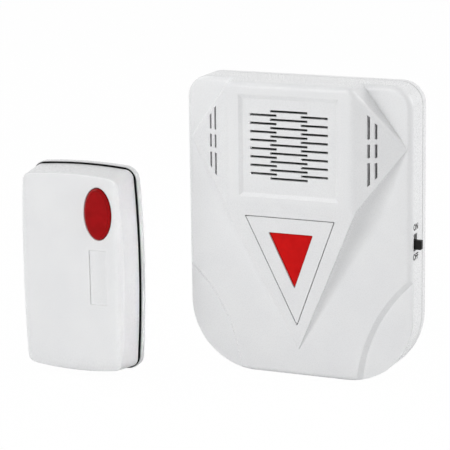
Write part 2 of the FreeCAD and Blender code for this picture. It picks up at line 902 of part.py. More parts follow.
def barrel(inset, y):
    """Four-sided outline with gently bulging sides."""
    half = bell_width / 2 - inset
    low = inset
    high = bell_height - inset
    x = half - bell_side_bulge
    low_z = low + bell_bottom_bulge
    high_z = high - bell_top_bulge
    middle = (low_z + high_z) / 2
    arcs = [Part.Arc(vec(-x, y, low_z), vec(0, y, low), vec(x, y, low_z)),
            Part.Arc(vec(x, y, low_z), vec(half, y, middle), vec(x, y, high_z)),
            Part.Arc(vec(x, y, high_z), vec(0, y, high), vec(-x, y, high_z)),
            Part.Arc(vec(-x, y, high_z), vec(-half, y, middle), vec(-x, y, low_z))]
    return Part.Wire([arc.toShape() for arc in arcs])


def barrel_solid(inset_front, inset_back, y_front, y_back):
    solid = Part.makeLoft([barrel(inset_front, y_front), barrel(inset_back, y_back)], True, True)
    corners = [edge for edge in solid.Edges if edge.BoundBox.YLength > (y_back - y_front) * 0.9]
    return solid.makeFillet(max(1.0, bell_corner - max(inset_front, inset_back)), corners)


def barrel_ring(inset_out, inset_in, y_front, y_back):
    outer = barrel_solid(inset_out, inset_out, y_front, y_back)
    return outer.cut(barrel_solid(inset_in, inset_in, y_front - 1, y_back + 1))


def bell_crown(shift):
    """Everything behind the face's rounded shoulders and chin, moved back by a shift."""
    side = bell_width / 2 - bell_face_inset
    start = side - bell_shoulder_width
    radius = (bell_shoulder_width ** 2 + bell_shoulder_drop ** 2) / (2 * bell_shoulder_drop)
    half_turn = math.asin(bell_shoulder_width / radius) / 2
    mid = (start + radius * math.sin(half_turn), radius * (1 - math.cos(half_turn)))

    def at(x, y):
        return vec(x, y + shift, -5)

    right = Part.Arc(at(start, 0), at(mid[0], mid[1]), at(side, bell_shoulder_drop)).toShape()
    left = Part.Arc(at(-side, bell_shoulder_drop), at(-mid[0], mid[1]), at(-start, 0)).toShape()
    far = [at(side, bell_shoulder_drop), at(side + 8, bell_shoulder_drop + 8), at(side + 8, bell_depth + 9),
           at(-side - 8, bell_depth + 9), at(-side - 8, bell_shoulder_drop + 8), at(-side, bell_shoulder_drop)]
    lines = [Part.LineSegment(far[k], far[k + 1]).toShape() for k in range(5)]
    flat = Part.LineSegment(at(-start, 0), at(start, 0)).toShape()
    sides = Part.Face(Part.Wire([flat, right] + lines + [left])).extrude(vec(0, 0, bell_height + 10))
    return sides.common(bell_chin(shift))


def bell_chin(shift):
    low = bell_face_inset
    start = low + bell_chin_width
    radius = (bell_chin_width ** 2 + bell_chin_drop ** 2) / (2 * bell_chin_drop)
    half_turn = math.asin(bell_chin_width / radius) / 2
    mid = (start - radius * math.sin(half_turn), radius * (1 - math.cos(half_turn)))
    far = bell_width

    def at(z, y):
        return vec(-far, y + shift, z)

    under = Part.Arc(at(start, 0), at(mid[0], mid[1]), at(low, bell_chin_drop)).toShape()
    ring = [at(low, bell_chin_drop), at(low - 8, bell_chin_drop + 4), at(low - 8, bell_depth + 9),
            at(bell_height + 5, bell_depth + 9), at(bell_height + 5, 0), at(start, 0)]
    lines = [Part.LineSegment(ring[k], ring[k + 1]).toShape() for k in range(5)]
    return Part.Face(Part.Wire([under] + lines)).extrude(vec(2 * far, 0, 0))


def oval(grow, y_front, y_back):
    major = button_half_height + grow
    minor = button_half_width + grow
    ring = Part.Ellipse(vec(button_x, y_front, button_z + major), vec(button_x + minor, y_front, button_z),
                        vec(button_x, y_front, button_z)).toShape()
    return Part.Face(Part.Wire([ring])).extrude(vec(0, y_back - y_front, 0))


def bell_board_posts_at():
    left = bell_board_left + bell_post_inset
    right = bell_board_right - bell_post_inset
    return [(left, bell_post_low), (left, bell_post_high), (right, bell_post_low)]


def cell_rib_heights():
    bottom = bell_cell_bottom - bell_spring_length
    top = bell_cell_bottom + bell_cell_length + contact_thick + contact_gap
    return bottom, top


def bell_front_cover():
    shell = barrel_solid(bell_face_inset, 0, 0, bell_front_depth).common(bell_crown(0))
    hollow = barrel_solid(bell_face_inset + bell_wall, bell_wall, 0, bell_front_depth + 1)
    shell = shell.cut(hollow.common(bell_crown(bell_wall)))
    cover = [shell]
    for x, z in bell_board_posts_at():
        cover.append(rod(bell_post_radius, x, z, bell_wall - bite, bell_board_front))
    low, high = cell_rib_heights()
    for z in (low - bell_rib, high):
        cover.append(block(bell_cell_x - bell_rib_half, bell_cell_x + bell_rib_half,
                           bell_wall - bite, bell_rib_back, z, z + bell_rib))
    shell = joined(cover)
    cuts = [oval(oval_gap, -1, bell_wall + 1)]
    cuts.append(block(tag_x - tag_width / 2, tag_x + tag_width / 2, -1, tag_depth,
                      tag_z - tag_height / 2, tag_z + tag_height / 2))
    for x, z in bell_board_posts_at():
        cuts.append(rod(board_screw_radius, x, z, bell_wall, bell_board_front + 1))
    return shell.cut(cuts).removeSplitter()


def bell_rear_cover():
    front = bell_front_depth + gasket_thick
    shell = barrel_solid(-rear_proud, -rear_proud, front, bell_depth)
    shell = shell.makeFillet(bell_back_round, edges_at(shell, bell_depth))
    shell = shell.cut(barrel_solid(bell_wall, bell_wall, front - 1, bell_depth - bell_wall))
    lip_out = bell_wall + bell_face_inset * (lip_reach + 1) / bell_front_depth + slip
    lip = barrel_ring(lip_out, lip_out + lip_wall, bell_front_depth - lip_reach, bell_depth - bell_wall + bite)
    shell = shell.fuse(lip)
    middle = bell_height / 2
    cuts = [rod(wall_hole_radius, 0, middle + side * wall_hole_spacing / 2, front - 4, bell_depth + 1)
            for side in (-1, 1)]
    return shell.cut(cuts).removeSplitter()


def push_button():
    cap = oval(0, -button_proud, bell_wall)
    cap = cap.makeChamfer(button_bevel, edges_at(cap, -button_proud))
    flange = oval(button_flange, bell_wall + stop_gap, bell_wall + stop_gap + button_flange_thick)
    neck = oval(0, bell_wall - bite, bell_wall + bite)
    stem_end = bell_board_front - tact_height - plunger_proud
    stem = rod(button_stem_radius, button_x, button_z, bell_wall, stem_end)
    return cap.multiFuse([neck, flange, stem]).removeSplitter()


def tact_switch():
    half = tact_size / 2
    front = bell_board_front - tact_height
    body = block(button_x - half, button_x + half, front, bell_board_front, button_z - half, button_z + half)
    well = rod(plunger_radius + screw_slip, button_x, button_z, front - 1,
               front + plunger_foot + button_travel + slip)
    return body.cut(well)


def tact_plunger():
    front = bell_board_front - tact_height
    return rod(plunger_radius, button_x, button_z, front - plunger_proud, front + plunger_foot)


def bell_board():
    board = block(bell_board_left, bell_board_right, bell_board_front, bell_board_front + bell_board_thick,
                  bell_board_bottom, bell_board_top)
    inset = bell_wall + 6 * slip
    far = bell_board_front + 2 * bell_board_thick
    outline = barrel_solid(inset, inset, bell_board_front - 1, far)
    holes = [rod(board_screw_radius + slip, x, z, bell_board_front - 1, far)
             for x, z in bell_board_posts_at()]
    return board.common(outline).cut(holes)


def bell_cell():
    start = vec(bell_cell_x, bell_wall + snug + bell_cell_radius, bell_cell_bottom)
    body = bell_cell_length - bell_nub_length
    can = Part.makeCylinder(bell_cell_radius, body, start)
    return can.fuse(Part.makeCylinder(bell_nub_radius, bell_nub_length, start + vec(0, 0, body)))


def bell_contact(low):
    return block(bell_cell_x - contact_half, bell_cell_x + contact_half, bell_wall + contact_gap,
                 bell_contact_back, low, low + contact_thick)


def bell_contacts():
    low, high = cell_rib_heights()
    middle = vec(bell_cell_x, bell_wall + snug + bell_cell_radius, low + contact_thick)
    coil = Part.makeCone(bell_spring_radius, bell_spring_radius * 0.7,
                         bell_spring_length - contact_thick - contact_gap, middle)
    return bell_contact(high - contact_thick), bell_contact(low).fuse(coil).removeSplitter()


def board_part_rod(at, radius, height):
    back = bell_board_front + bell_board_thick
    return rod(radius, at[0], at[1], back, back + height)


def encoder_chip():
    width, thick, height = encoder_size
    back = bell_board_front + bell_board_thick
    x, z = encoder_at
    return block(x - width / 2, x + width / 2, back, back + thick, z - height / 2, z + height / 2)


def build_chime():
    keep("chime_front_cover", chime_front_cover(), chime_place)
    keep("chime_rear_cover", chime_rear_cover(), chime_place)
    keep("battery_door", battery_door(), chime_place)
    keep("lens_panel", lens_panel(), chime_place)
    keep("signal_lens", signal_lens(), chime_place)
    basket, cone, magnet = speaker_parts()
    keep("speaker_basket", basket, chime_place)
    keep("speaker_cone", cone, chime_place)
    keep("speaker_magnet", magnet, chime_place)
    keep("speaker_screws", Part.makeCompound(
        [screw(clamp_shank_radius, clamp_head_radius, clamp_head_thick, clamp_shank_length, x, z,
               speaker_front() + speaker_rim) for x, z in clamp_posts_at()]), chime_place)
    keep("chime_board", chime_board(), chime_place)
    keep("chime_board_screws", Part.makeCompound(
        [board_screw(x, z, board_front + board_thick) for x, z in board_posts_at()]), chime_place)
    keep("signal_leds", signal_leds(), chime_place)
    keep("receiver_module", receiver_module(), chime_place)
    keep("melody_chip", melody_chip(), chime_place)
    keep("switch_body", switch_body(), chime_place)
    keep("switch_knob", switch_knob(), chime_place)
    for index in range(cell_count):
        keep("aa_cell_%d" % (index + 1), aa_cell(index), chime_place)
    springs, plates = cell_contacts()
    keep("cell_springs", springs, chime_place)
    keep("cell_plates", plates, chime_place)
    keep("case_screws", Part.makeCompound(
        [screw(screw_shank_radius, screw_head_radius, screw_head_thick, screw_length, x, z,
               boss_back + sleeve_floor) for x, z in case_screws_at]), chime_place)


def build_bell():
    keep("bell_front_cover", bell_front_cover(), bell_place)
    keep("bell_rear_cover", bell_rear_cover(), bell_place)
    keep("bell_gasket", barrel_ring(-gasket_proud, gasket_in, bell_front_depth,
                                    bell_front_depth + gasket_thick), bell_place)
    keep("push_button", push_button(), bell_place)
    keep("tact_switch", tact_switch(), bell_place)
    keep("tact_plunger", tact_plunger(), bell_place)
    keep("bell_board", bell_board(), bell_place)
    keep("bell_board_screws", Part.makeCompound(
        [board_screw(x, z, bell_board_front + bell_board_thick) for x, z in bell_board_posts_at()]), bell_place)
    keep("bell_cell", bell_cell(), bell_place)
    strip, coil = bell_contacts()
    keep("bell_cell_plate", strip, bell_place)
    keep("bell_cell_spring", coil, bell_place)
    keep("resonator", board_part_rod(resonator_at, resonator_radius, resonator_height), bell_place)
    keep("tuning_coil", board_part_rod(tuning_coil_at, tuning_coil_radius, tuning_coil_height), bell_place)
    keep("encoder_chip", encoder_chip(), bell_place)


build_chime()
build_bell()
os.makedirs("parts", exist_ok=True)
for name, shape in pieces.items():
    shape.exportStep("parts/%s.step" % name)
    box = shape.BoundBox
    print("%-20s solids %d valid %s volume %9.1f  x %.1f %.1f  y %.1f %.1f  z %.1f %.1f" % (
        name, len(shape.Solids), shape.isValid(), shape.Volume,
        box.XMin, box.XMax, box.YMin, box.YMax, box.ZMin, box.ZMax))
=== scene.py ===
import bpy
import math
from mathutils import Matrix, Vector


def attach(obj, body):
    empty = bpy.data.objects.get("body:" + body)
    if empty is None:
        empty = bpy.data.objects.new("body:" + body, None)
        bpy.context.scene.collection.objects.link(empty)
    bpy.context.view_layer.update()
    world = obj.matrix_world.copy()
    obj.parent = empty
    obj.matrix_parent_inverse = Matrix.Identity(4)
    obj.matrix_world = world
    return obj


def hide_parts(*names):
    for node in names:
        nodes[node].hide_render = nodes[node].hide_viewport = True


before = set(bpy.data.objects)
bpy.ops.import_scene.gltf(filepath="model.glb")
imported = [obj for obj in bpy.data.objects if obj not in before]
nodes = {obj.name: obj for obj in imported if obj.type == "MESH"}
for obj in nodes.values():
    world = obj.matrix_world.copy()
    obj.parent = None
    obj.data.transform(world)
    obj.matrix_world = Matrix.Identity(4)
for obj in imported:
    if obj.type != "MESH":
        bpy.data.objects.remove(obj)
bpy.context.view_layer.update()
print("frame in place:", len(nodes), "pieces")

mm = 0.001


# Camera, as the photograph was taken: a long lens, a little above and to the right
view = {
    "lens": 177.21,             # mm, on a sensor 36 mm wide
    "sensor": 36.0,
    "turn": 24.0,               # degrees to the right of straight ahead
    "down": 12.879,
    "tilt": -0.858,
    "aim": (-2.071, 7.75, 62.236),   # mm
    "distance": 927.3,
    "reach": 20,                # m, how far the camera sees
}


def setCamera():
    turn, down, tilt = (math.radians(view[key]) for key in ("turn", "down", "tilt"))
    right = Vector((math.cos(turn), math.sin(turn), 0))
    ahead = Vector((-math.sin(turn) * math.cos(down), math.cos(turn) * math.cos(down), -math.sin(down)))
    up = right.cross(ahead)
    right, up = (right * math.cos(tilt) + up * math.sin(tilt),
                 up * math.cos(tilt) - right * math.sin(tilt))
    data = bpy.data.cameras.new("camera")
    data.sensor_width = view["sensor"]
    data.lens = view["lens"]
    data.dof.use_dof = False
    data.clip_end = view["reach"]
    camera = bpy.data.objects.new("camera", data)
    bpy.context.scene.collection.objects.link(camera)
    place = Matrix((right, up, -ahead)).transposed().to_4x4()
    place.translation = (Vector(view["aim"]) - ahead * view["distance"]) * mm
    camera.matrix_world = place
    bpy.context.scene.camera = camera


setCamera()
print("camera set")


# Shader helpers
def newFinish(name):
    material = bpy.data.materials.new(name)
    material.use_nodes = True
    tree = material.node_tree
    tree.nodes.clear()
    output = tree.nodes.new("ShaderNodeOutputMaterial")
    shader = tree.nodes.new("ShaderNodeBsdfPrincipled")
    tree.links.new(shader.outputs["BSDF"], output.inputs["Surface"])
    return material, tree, shader


def put(tree, kind, links=None, **values):
    node = tree.nodes.new(kind)
    for key, value in values.items():
        if hasattr(node, key):
            setattr(node, key, value)
        else:
            node.inputs[key.replace("_", " ")].default_value = value
    for key, source in (links or {}).items():
        tree.links.new(source, node.inputs[key])
    return node


def noiseAt(tree, size, detail=3.0, rough=0.5, stretch=(1, 1, 1)):
    # size is the width of a blotch in mm
    place = put(tree, "ShaderNodeTexCoord").outputs["Object"]
    wide = put(tree, "ShaderNodeMapping", {"Vector": place})
    wide.inputs["Scale"].default_value = stretch
    return put(tree, "ShaderNodeTexNoise", {"Vector": wide.outputs["Vector"]},
               Scale=1 / (size * mm), Detail=detail, Roughness=rough).outputs["Fac"]


def spread(tree, source, low, high, fromLow=0.3, fromHigh=0.7):
    node = put(tree, "ShaderNodeMapRange", {"Value": source})
    for key, value in (("From Min", fromLow), ("From Max", fromHigh), ("To Min", low), ("To Max", high)):
        node.inputs[key].default_value = value
    return node.outputs["Result"]


def blendColors(tree, factor, first, second):
    node = put(tree, "ShaderNodeMix", data_type="RGBA")
    tree.links.new(factor, node.inputs[0])
    for socket, value in ((node.inputs[6], first), (node.inputs[7], second)):
        if isinstance(value, (tuple, list)):
            socket.default_value = (*value, 1)
        else:
            tree.links.new(value, socket)
    return node.outputs[2]


def roundedNormal(tree, radius, samples=4):
    # softens sharp edges by a radius in mm
    return put(tree, "ShaderNodeBevel", samples=samples, Radius=radius * mm).outputs["Normal"]


def bumped(tree, height, depth, normal=None):
    # depth in mm
    links = {"Height": height}
    if normal is not None:
        links["Normal"] = normal
    return put(tree, "ShaderNodeBump", links, Strength=1.0, Distance=depth * mm).outputs["Normal"]


def edgeMask(tree, radius, sharp=0.75, flat=0.98):
    # 1 on sharp edges, 0 on open faces; sharp and flat say how far the softened normal leans from the plain one
    soft = roundedNormal(tree, radius)
    plain = put(tree, "ShaderNodeNewGeometry").outputs["Normal"]
    dot = put(tree, "ShaderNodeVectorMath", operation="DOT_PRODUCT")
    tree.links.new(soft, dot.inputs[0])
    tree.links.new(plain, dot.inputs[1])
    return spread(tree, dot.outputs["Value"], 1.0, 0.0, sharp, flat)


def dress(material, *names):
    for name in names:
        for place in nodes[name].material_slots:
            place.material = material


# Housing: glossy white moulded plastic
housingFinish = {
    "color": (0.80, 0.805, 0.81),
    "shade": (0.775, 0.78, 0.79),
    "rough": (0.24, 0.32),
    "grain": 0.35,         # mm, the faint skin of the moulding
    "grainDepth": 0.0005,
    "flow": 14.0,          # mm, slow waves left by the mould
    "flowDepth": 0.012,
    "edge": 0.35,          # mm, softness of the edges
    "paintedHighlight": (0.87, 0.875, 0.88),   # painted highlight: the edges are lightened to this colour as if they caught the light
    "paintedHighlightWidth": 0.5,
    "paintedHighlightBends": (0.80, 0.98),
    "gloss": 0.5,
    "ior": 1.5,
}
insertFinish = {**housingFinish, "edge": 0.5}
# the bell front gets a wider, brighter painted highlight, which reaches its shallow bends too
bellFinish = {**housingFinish, "edge": 0.9, "paintedHighlightWidth": 1.5, "paintedHighlightBends": (0.95, 0.996),
              "paintedHighlight": (0.90, 0.905, 0.91)}


def glossyHousing(name, settings):
    material, tree, shader = newFinish(name)
    slow = noiseAt(tree, settings["flow"], detail=2)
    fine = noiseAt(tree, settings["grain"], detail=2)
    color = blendColors(tree, spread(tree, slow, 0, 1), settings["color"], settings["shade"])
    # painted highlight: the base colour is lightened along the edges
    paintedHighlight = edgeMask(tree, settings["paintedHighlightWidth"], *settings["paintedHighlightBends"])
    color = blendColors(tree, paintedHighlight, color, settings["paintedHighlight"])
    tree.links.new(color, shader.inputs["Base Color"])
    tree.links.new(spread(tree, fine, *settings["rough"]), shader.inputs["Roughness"])
    soft = roundedNormal(tree, settings["edge"])
    waved = bumped(tree, slow, settings["flowDepth"], soft)
    tree.links.new(bumped(tree, fine, settings["grainDepth"], waved), shader.inputs["Normal"])
    shader.inputs["Specular IOR Level"].default_value = settings["gloss"]
    shader.inputs["IOR"].default_value = settings["ior"]
    return material


dress(glossyHousing("white_moulding", housingFinish), "chime_front_cover", "chime_rear_cover", "battery_door",
      "bell_rear_cover")
dress(glossyHousing("white_insert", insertFinish), "lens_panel")
dress(glossyHousing("white_bell_front", bellFinish), "bell_front_cover")
print("housings dressed")


# Red plastics; ripple, rim width and edge in mm. The rim colour is painted shade: a darker rim along the edges,
# as if their sides lay in shadow
paintedRimShadeBends = (0.86, 0.985)
lensFinish = {"color": (0.63, 0.005, 0.005), "deep": (0.54, 0.003, 0.003), "paintedRimShade": (0.26, 0.002, 0.002),
              "paintedRimShadeWidth": 0.9, "rough": 0.14, "ripple": 1.1, "rippleDepth": 0.006, "edge": 0.3, "gloss": 0.08,
              "clear": 0.0}
buttonFinish = {"color": (0.36, 0.003, 0.005), "deep": (0.29, 0.002, 0.003), "paintedRimShade": (0.13, 0.001, 0.001),
                "paintedRimShadeWidth": 0.6, "rough": 0.16, "ripple": 1.3, "rippleDepth": 0.010, "edge": 0.3, "gloss": 0.08,
                "clear": 0.0}
ledFinish = {"color": (0.70, 0.05, 0.03), "deep": (0.60, 0.03, 0.02), "paintedRimShade": (0.60, 0.03, 0.02),
             "paintedRimShadeWidth": 0.1, "rough": 0.08, "ripple": 0.8, "rippleDepth": 0.002, "edge": 0.1, "gloss": 0.5,
             "clear": 0.4}


def redPlastic(name, settings):
    material, tree, shader = newFinish(name)
    slow = noiseAt(tree, settings["ripple"] * 3, detail=2)
    fine = noiseAt(tree, settings["ripple"], detail=1)
    color = blendColors(tree, spread(tree, slow, 0, 1), settings["color"], settings["deep"])
    # painted shade: the edges are darkened toward the rim colour
    color = blendColors(tree, edgeMask(tree, settings["paintedRimShadeWidth"], *paintedRimShadeBends), color, settings["paintedRimShade"])
    tree.links.new(color, shader.inputs["Base Color"])
    tree.links.new(spread(tree, fine, settings["rough"], settings["rough"] * 1.5), shader.inputs["Roughness"])
    normal = bumped(tree, slow, settings["rippleDepth"], roundedNormal(tree, settings["edge"]))
    tree.links.new(normal, shader.inputs["Normal"])
    shader.inputs["Specular IOR Level"].default_value = settings["gloss"]
    shader.inputs["Transmission Weight"].default_value = settings["clear"]
    return material


dress(redPlastic("red_lens", lensFinish), "signal_lens")
dress(redPlastic("red_button", buttonFinish), "push_button")
dress(redPlastic("led_resin", ledFinish), "signal_leds")
print("red pieces dressed")


# Dark plastics, rubber and paper; grain and depth in mm
wornEdge = 0.15
rubberFinish = {"color": (0.003, 0.003, 0.003), "worn": (0.006, 0.006, 0.006), "rough": (0.6, 0.8),
                "grain": 0.25, "depth": 0.012, "gloss": 0.08}
knobFinish = {"color": (0.004, 0.004, 0.004), "worn": (0.012, 0.012, 0.012), "rough": (0.4, 0.55),
              "grain": 0.3, "depth": 0.006, "gloss": 0.15}
coneFinish = {"color": (0.012, 0.012, 0.012), "worn": (0.03, 0.029, 0.027), "rough": (0.75, 0.9),
              "grain": 0.5, "depth": 0.05, "gloss": 0.5}
resinFinish = {"color": (0.012, 0.012, 0.014), "worn": (0.03, 0.03, 0.032), "rough": (0.3, 0.55),
               "grain": 0.7, "depth": 0.02, "gloss": 0.5}
coilFinish = {"color": (0.35, 0.12, 0.035), "worn": (0.50, 0.22, 0.08), "rough": (0.3, 0.45),
              "grain": 0.4, "depth": 0.02, "gloss": 0.5}


def darkSurface(name, settings, stretch=(1, 1, 1)):
    material, tree, shader = newFinish(name)
    fine = noiseAt(tree, settings["grain"], detail=4, rough=0.6, stretch=stretch)
    broad = noiseAt(tree, settings["grain"] * 12, detail=3)
    worn = put(tree, "ShaderNodeMath", operation="MAXIMUM")
    tree.links.new(edgeMask(tree, wornEdge), worn.inputs[0])
    tree.links.new(spread(tree, broad, 0, 0.6), worn.inputs[1])
    color = blendColors(tree, worn.outputs[0], settings["color"], settings["worn"])
    tree.links.new(color, shader.inputs["Base Color"])
    tree.links.new(spread(tree, broad, *settings["rough"]), shader.inputs["Roughness"])
    tree.links.new(bumped(tree, fine, settings["depth"], roundedNormal(tree, 0.12)), shader.inputs["Normal"])
    shader.inputs["Specular IOR Level"].default_value = settings["gloss"]
    return material


dress(darkSurface("seal_rubber", rubberFinish), "bell_gasket")
dress(darkSurface("black_plastic", knobFinish), "switch_knob", "tact_switch", "tact_plunger")
dress(darkSurface("cone_paper", coneFinish), "speaker_cone")
dress(darkSurface("chip_resin", resinFinish), "melody_chip", "encoder_chip")
dress(darkSurface("coil_winding", coilFinish, stretch=(0.2, 3, 0.2)), "tuning_coil")
print("dark pieces dressed")


# Metals; grain and depth in mm
brightEdge = 0.12
zincFinish = {"color": (0.60, 0.61, 0.63), "dull": (0.42, 0.43, 0.46), "rough": (0.22, 0.42),
              "grain": 0.25, "depth": 0.008, "metal": 1.0}
springFinish = {"color": (0.72, 0.71, 0.68), "dull": (0.52, 0.51, 0.48), "rough": (0.16, 0.3),
                "grain": 0.3, "depth": 0.004, "metal": 1.0}
basketFinish = {"color": (0.015, 0.015, 0.016), "dull": (0.05, 0.05, 0.052), "rough": (0.35, 0.55),
                "grain": 0.4, "depth": 0.01, "metal": 0.0}
canFinish = {"color": (0.66, 0.66, 0.64), "dull": (0.48, 0.48, 0.47), "rough": (0.2, 0.36),
             "grain": 0.5, "depth": 0.006, "metal": 1.0}


def metalSurface(name, settings, stretch=(1, 1, 1)):
    material, tree, shader = newFinish(name)
    fine = noiseAt(tree, settings["grain"], detail=5, rough=0.6, stretch=stretch)
    broad = noiseAt(tree, settings["grain"] * 10, detail=3)
    color = blendColors(tree, spread(tree, broad, 0, 1), settings["color"], settings["dull"])
    rubbed = tuple(min(1, share * 1.25 + 0.04) for share in settings["color"])
    bright = blendColors(tree, edgeMask(tree, brightEdge), color, rubbed)
    tree.links.new(bright, shader.inputs["Base Color"])
    tree.links.new(spread(tree, fine, *settings["rough"]), shader.inputs["Roughness"])
    tree.links.new(bumped(tree, fine, settings["depth"], roundedNormal(tree, 0.1)), shader.inputs["Normal"])
    shader.inputs["Metallic"].default_value = settings["metal"]
    return material


springSteel = metalSurface("spring_steel", springFinish, stretch=(1, 6, 6))
dress(metalSurface("zinc_plate", zincFinish), "speaker_magnet", "speaker_screws", "chime_board_screws",
      "case_screws", "bell_board_screws")
dress(springSteel, "cell_springs", "cell_plates", "bell_cell_plate", "bell_cell_spring")
dress(metalSurface("black_steel", basketFinish), "speaker_basket")
dress(metalSurface("pressed_can", canFinish, stretch=(1, 8, 1)), "switch_body", "resonator")
print("metals dressed")


# Battery springs, wound from wire; lengths and places in mm
pathSteps = 28      # places along one turn
flatTurns = 0.8     # the part of a turn that lies flat at each end
springs = [
    {"node": "cell_springs", "body": "chime", "wire": 0.38, "turns": 4, "coils": [
        {"foot": (3.25, 18.18, 25.6), "tip": (7.45, 18.18, 25.6), "wide": 3.2, "narrow": 2.1},
        {"foot": (58.55, 18.18, 40.1), "tip": (54.35, 18.18, 40.1), "wide": 3.2, "narrow": 2.1}]},
    {"node": "bell_cell_spring", "body": "bell", "wire": 0.3, "turns": 3.5, "coils": [
        {"foot": (-71.15, -18.30, 21.93), "tip": (-71.15, -18.30, 24.85), "wide": 2.8, "narrow": 1.9}],
     "plate": {"low": (-75.15, -23.45, 21.55), "high": (-67.15, -15.05, 21.95), "corner": 1.2, "bevel": 0.1}},
]


def addTube(path, radius, corners, faces, around=10):
    first = len(corners)
    for index, place in enumerate(path):
        ahead = (path[min(index + 1, len(path) - 1)] - path[max(index - 1, 0)]).normalized()
        if index == 0:
            side = ahead.orthogonal().normalized()
        else:
            side = (side - ahead * side.dot(ahead)).normalized()
        other = ahead.cross(side)
        for step in range(around):
            turn = 2 * math.pi * step / around
            corners.append(place + (side * math.cos(turn) + other * math.sin(turn)) * radius)
    for ring in range(len(path) - 1):
        for step in range(around):
            a = first + ring * around + step
            b = first + ring * around + (step + 1) % around
            faces.append((a, b, b + around, a + around))
    faces.append(tuple(first + step for step in reversed(range(around))))
    faces.append(tuple(first + (len(path) - 1) * around + step for step in range(around)))


def addPlate(plate, corners, faces, steps=5):
    # a flat contact with round corners and softened edges
    low, high = Vector(plate["low"]), Vector(plate["high"])
    middle, half = (low + high) / 2, (high - low) / 2
    levels = [(low.z, plate["bevel"]), (low.z + plate["bevel"], 0), (high.z - plate["bevel"], 0),
              (high.z, plate["bevel"])]
    first = len(corners)
    count = 4 * (steps + 1)
    for height, inset in levels:
        for quarter in range(4):
            across = (1, -1, -1, 1)[quarter] * (half.x - plate["corner"])
            along = (1, 1, -1, -1)[quarter] * (half.y - plate["corner"])
            for step in range(steps + 1):
                turn = math.pi / 2 * (quarter + step / steps)
                reach = plate["corner"] - inset
                corners.append(Vector((middle.x + across + reach * math.cos(turn),
                                       middle.y + along + reach * math.sin(turn), height)))
    for level in range(len(levels) - 1):
        for step in range(count):
            a = first + level * count + step
            b = first + level * count + (step + 1) % count
            faces.append((a, b, b + count, a + count))
    faces.append(tuple(first + step for step in reversed(range(count))))
    faces.append(tuple(first + (len(levels) - 1) * count + step for step in range(count)))


def coilPath(coil, wire, turns):
    foot, tip = Vector(coil["foot"]), Vector(coil["tip"])
    axis = (tip - foot).normalized()
    side = axis.orthogonal().normalized()
    other = axis.cross(side)
    path = []
    for step in range(int(turns * pathSteps) + 1):
        turned = step / pathSteps
        climb = min(1, max(0, (turned - flatTurns) / (turns - 2 * flatTurns)))
        radius = coil["wide"] + (coil["narrow"] - coil["wide"]) * climb
        height = wire + ((tip - foot).length - 2 * wire) * climb
        turn = 2 * math.pi * turned
        path.append(foot + axis * height + (side * math.cos(turn) + other * math.sin(turn)) * radius)
    return path


def windSpring(spring):
    corners, faces = [], []
    for coil in spring["coils"]:
        addTube(coilPath(coil, spring["wire"], spring["turns"]), spring["wire"], corners, faces)
    if "plate" in spring:
        addPlate(spring["plate"], corners, faces)
    mesh = bpy.data.meshes.new("wound_" + spring["node"])
    mesh.from_pydata([corner * mm for corner in corners], [], faces)
    for face in mesh.polygons:
        face.use_smooth = len(face.vertices) == 4
    wound = bpy.data.objects.new("wound_" + spring["node"], mesh)
    bpy.context.scene.collection.objects.link(wound)
    mesh.materials.append(springSteel)
    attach(wound, spring["body"])
    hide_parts(spring["node"])


for spring in springs:
    windSpring(spring)
print("springs wound")


# Circuit boards: lacquer over copper tracks; lengths in mm
boardFinish = {
    "lacquer": (0.012, 0.11, 0.045),
    "track": (0.025, 0.20, 0.08),
    "rough": (0.22, 0.36),
    "patch": 3,               # how wide the duller patches are
    "pitch": 2.6,
    "trackLength": 1.7,       # in pitches, as the next three
    "trackRow": 0.5,
    "trackWidth": 0.09,
    "trackSoft": 0.1,
    "trackDepth": 0.03,
    "edge": 0.1,
    "coat": 0.3,
}
# Battery cells: a plain wrapper with a band at one end
cellFinish = {"wrap": (0.045, 0.09, 0.22), "band": (0.55, 0.56, 0.58), "rough": (0.2, 0.34),
              "grain": 0.8, "depth": 0.004, "edge": 0.2, "metal": 0.25}


def boardSurface(name, settings):
    material, tree, shader = newFinish(name)
    place = put(tree, "ShaderNodeTexCoord").outputs["Object"]
    upright = put(tree, "ShaderNodeMapping", {"Vector": place}, Rotation=(math.pi / 2, 0, 0)).outputs["Vector"]
    tracks = put(tree, "ShaderNodeTexBrick", {"Vector": upright}, Scale=1 / (settings["pitch"] * mm),
                 Mortar_Size=settings["trackWidth"], Mortar_Smooth=settings["trackSoft"],
                 Brick_Width=settings["trackLength"], Row_Height=settings["trackRow"])
    line = tracks.outputs["Fac"]
    color = blendColors(tree, line, settings["lacquer"], settings["track"])
    tree.links.new(color, shader.inputs["Base Color"])
    patches = noiseAt(tree, settings["patch"])
    tree.links.new(spread(tree, patches, *settings["rough"]), shader.inputs["Roughness"])
    normal = bumped(tree, line, settings["trackDepth"], roundedNormal(tree, settings["edge"]))
    tree.links.new(normal, shader.inputs["Normal"])
    shader.inputs["Coat Weight"].default_value = settings["coat"]
    return material


def cellSurface(name, settings, axis, edges):
    # edges are where the wrapper turns into the bright end band, in mm along the axis
    material, tree, shader = newFinish(name)
    place = put(tree, "ShaderNodeSeparateXYZ", {"Vector": put(tree, "ShaderNodeTexCoord").outputs["Object"]})
    along = place.outputs[axis]
    bright = spread(tree, along, 0, 1, edges[0] * mm, edges[1] * mm)
    color = blendColors(tree, bright, settings["wrap"], settings["band"])
    tree.links.new(color, shader.inputs["Base Color"])
    fine = noiseAt(tree, settings["grain"])
    tree.links.new(spread(tree, fine, *settings["rough"]), shader.inputs["Roughness"])
    normal = bumped(tree, fine, settings["depth"], roundedNormal(tree, settings["edge"]))
    tree.links.new(normal, shader.inputs["Normal"])
    shader.inputs["Metallic"].default_value = settings["metal"]
    return material


